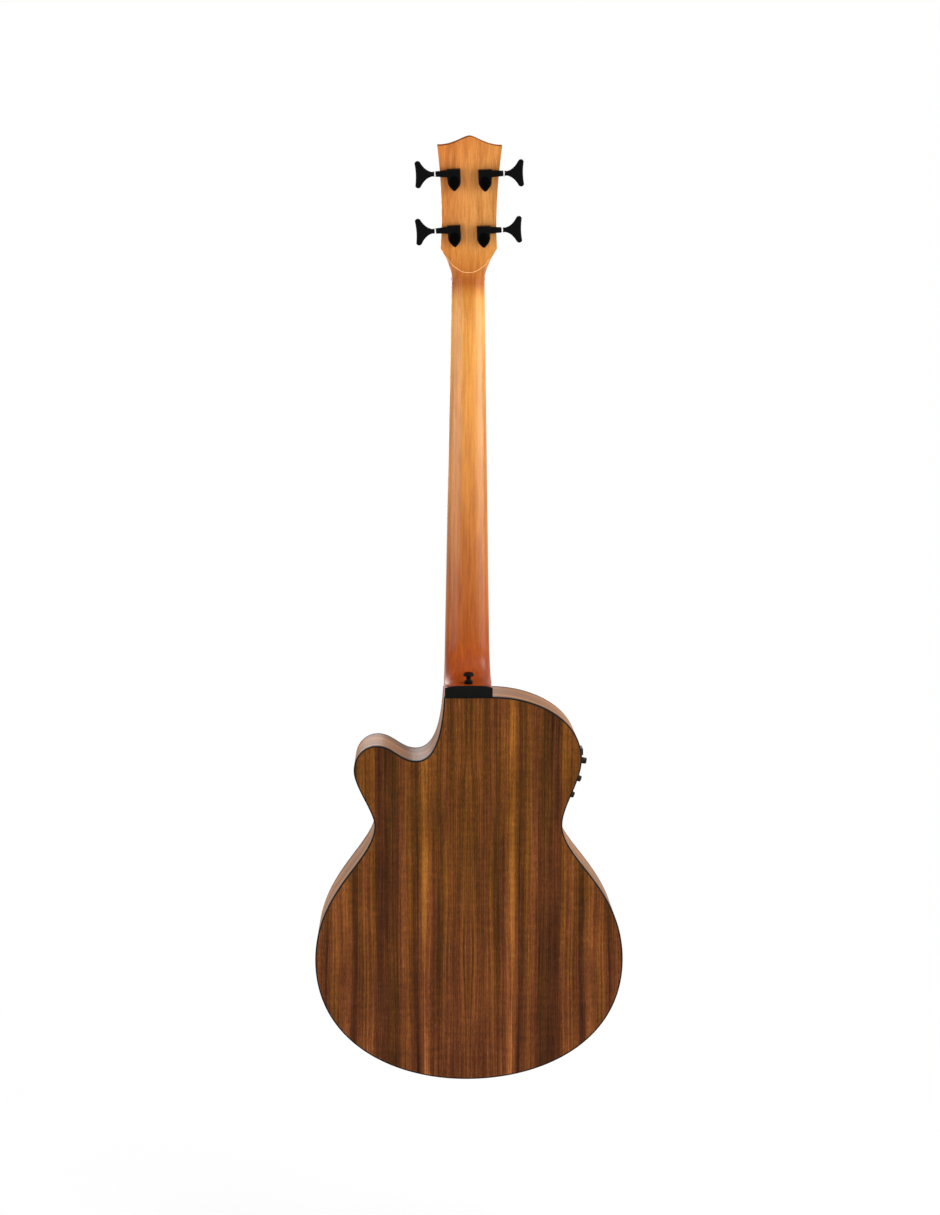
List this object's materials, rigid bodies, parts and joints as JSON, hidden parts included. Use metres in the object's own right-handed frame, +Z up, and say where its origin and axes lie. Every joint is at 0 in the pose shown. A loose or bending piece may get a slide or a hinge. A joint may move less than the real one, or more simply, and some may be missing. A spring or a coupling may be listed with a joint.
{
  "type": "acoustic bass guitar",
  "caption": "Acoustic bass guitar with a cutaway, set neck, geared tuning machines, side preamp and arched back.",
  "frame": {"origin": "on the centre line at the fingerboard face of the nut, in the plane of the soundboard's outer face", "axes": "+Z up the neck to the headstock, +Y out of the back, +X to the cutaway (treble) side"},
  "size_m": [0.405, 0.1201, 1.2378],
  "materials": {
    "mahogany": "satin, open grain",
    "koa": "satin lacquer, book-matched",
    "spruce": "satin lacquer",
    "dark_wood": "oiled",
    "brace_wood": "raw",
    "black_plastic": "satin",
    "black_metal": "black plating, semi-gloss",
    "white_plastic": "satin",
    "bone": "polished",
    "steel": "turned",
    "bronze": "wound wire"
  },
  "bodies": {
    "guitar": {"soundboard": "spruce", "back_plate": "koa", "treble_side": "koa", "bass_side": "koa", "top_binding": "black_plastic", "back_binding": "black_plastic", "neck_block": "mahogany", "tail_block": "mahogany", "top_bracing": "brace_wood", "bridge_plate": "brace_wood", "bridge": "dark_wood", "saddle": "bone", "endpin_jack": "black_metal", "back_brace_1": "brace_wood", "back_brace_2": "brace_wood", "back_brace_3": "brace_wood", "back_brace_4": "brace_wood", "neck": "mahogany", "fingerboard": "dark_wood", "nut": "black_plastic", "headplate": "dark_wood", "truss_rod": "steel", "truss_rod_cover": "black_plastic", "heel_cap": "black_plastic", "strap_button": "black_metal", "preamp_panel": "black_plastic", "preamp_case": "black_plastic", "battery": "steel", "tuner_housing_e": "black_metal", "key_washer_e": "white_plastic", "post_bushing_e": "black_metal", "string_e": "bronze", "tuner_housing_a": "black_metal", "key_washer_a": "white_plastic", "post_bushing_a": "black_metal", "string_a": "bronze", "tuner_housing_d": "black_metal", "key_washer_d": "white_plastic", "post_bushing_d": "black_metal", "string_d": "bronze", "tuner_housing_g": "black_metal", "key_washer_g": "white_plastic", "post_bushing_g": "black_metal", "string_g": "bronze"},
    "key_e": {"tuner_key_e": "black_metal"},
    "post_e": {"string_post_e": "black_metal", "string_coil_e": "bronze"},
    "key_a": {"tuner_key_a": "black_metal"},
    "post_a": {"string_post_a": "black_metal", "string_coil_a": "bronze"},
    "key_d": {"tuner_key_d": "black_metal"},
    "post_d": {"string_post_d": "black_metal", "string_coil_d": "bronze"},
    "key_g": {"tuner_key_g": "black_metal"},
    "post_g": {"string_post_g": "black_metal", "string_coil_g": "bronze"},
    "volume_knob": {"volume_knob": "black_plastic"},
    "bass_knob": {"bass_knob": "black_plastic"},
    "treble_knob": {"treble_knob": "black_plastic"},
    "tuner_button": {"tuner_button": "black_plastic"}
  },
  "joints": [
    {"name": "key_e_turn", "type": "hinge", "parent": "guitar", "child": "key_e", "pos_m": [-0.01827, 0.03905, 0.06145], "axis": [-0.9993, 0.0086, 0.0374], "continuous": true},
    {"name": "post_e_turn", "type": "hinge", "parent": "guitar", "child": "post_e", "pos_m": [-0.0186, 0.03105, 0.05437], "axis": [0, -0.9744, 0.225], "continuous": true},
    {"name": "key_a_turn", "type": "hinge", "parent": "guitar", "child": "key_a", "pos_m": [-0.01927, 0.05498, 0.13043], "axis": [-0.9993, 0.0086, 0.0374], "continuous": true},
    {"name": "post_a_turn", "type": "hinge", "parent": "guitar", "child": "post_a", "pos_m": [-0.0196, 0.04698, 0.12336], "axis": [0, -0.9744, 0.225], "continuous": true},
    {"name": "key_d_turn", "type": "hinge", "parent": "guitar", "child": "key_d", "pos_m": [0.01993, 0.05507, 0.13082], "axis": [0.9993, -0.0086, -0.0374], "continuous": true},
    {"name": "post_d_turn", "type": "hinge", "parent": "guitar", "child": "post_d", "pos_m": [0.0196, 0.04707, 0.12374], "axis": [0, -0.9744, 0.225], "continuous": true},
    {"name": "key_g_turn", "type": "hinge", "parent": "guitar", "child": "key_g", "pos_m": [0.01918, 0.03918, 0.06202], "axis": [0.9978, -0.0149, -0.0646], "continuous": true},
    {"name": "post_g_turn", "type": "hinge", "parent": "guitar", "child": "post_g", "pos_m": [0.0186, 0.03119, 0.05495], "axis": [0, -0.9744, 0.225], "continuous": true},
    {"name": "volume_knob_turn", "type": "hinge", "parent": "guitar", "child": "volume_knob", "pos_m": [-0.14707, 0.043, -0.628], "axis": [-0.9882, 0, -0.1533], "range_deg": [-150, 150]},
    {"name": "bass_knob_turn", "type": "hinge", "parent": "guitar", "child": "bass_knob", "pos_m": [-0.14066, 0.043, -0.6505], "axis": [-0.9348, 0, -0.3553], "range_deg": [-150, 150]},
    {"name": "treble_knob_turn", "type": "hinge", "parent": "guitar", "child": "treble_knob", "pos_m": [-0.13181, 0.043, -0.672], "axis": [-0.9239, 0, -0.3827], "range_deg": [-150, 150]},
    {"name": "tuner_button_press", "type": "slide", "parent": "guitar", "child": "tuner_button", "axis": [0.9394, 0, 0.3429], "range_m": [0, 0.0012], "stiffness_N_per_m": 400, "springref_m": -0.0004}
  ],
  "couplings": [
    {"joint": "post_e_turn", "follows": "key_e_turn", "ratio": 0.071429},
    {"joint": "post_a_turn", "follows": "key_a_turn", "ratio": 0.071429},
    {"joint": "post_d_turn", "follows": "key_d_turn", "ratio": 0.071429},
    {"joint": "post_g_turn", "follows": "key_g_turn", "ratio": 0.071429}
  ]
}
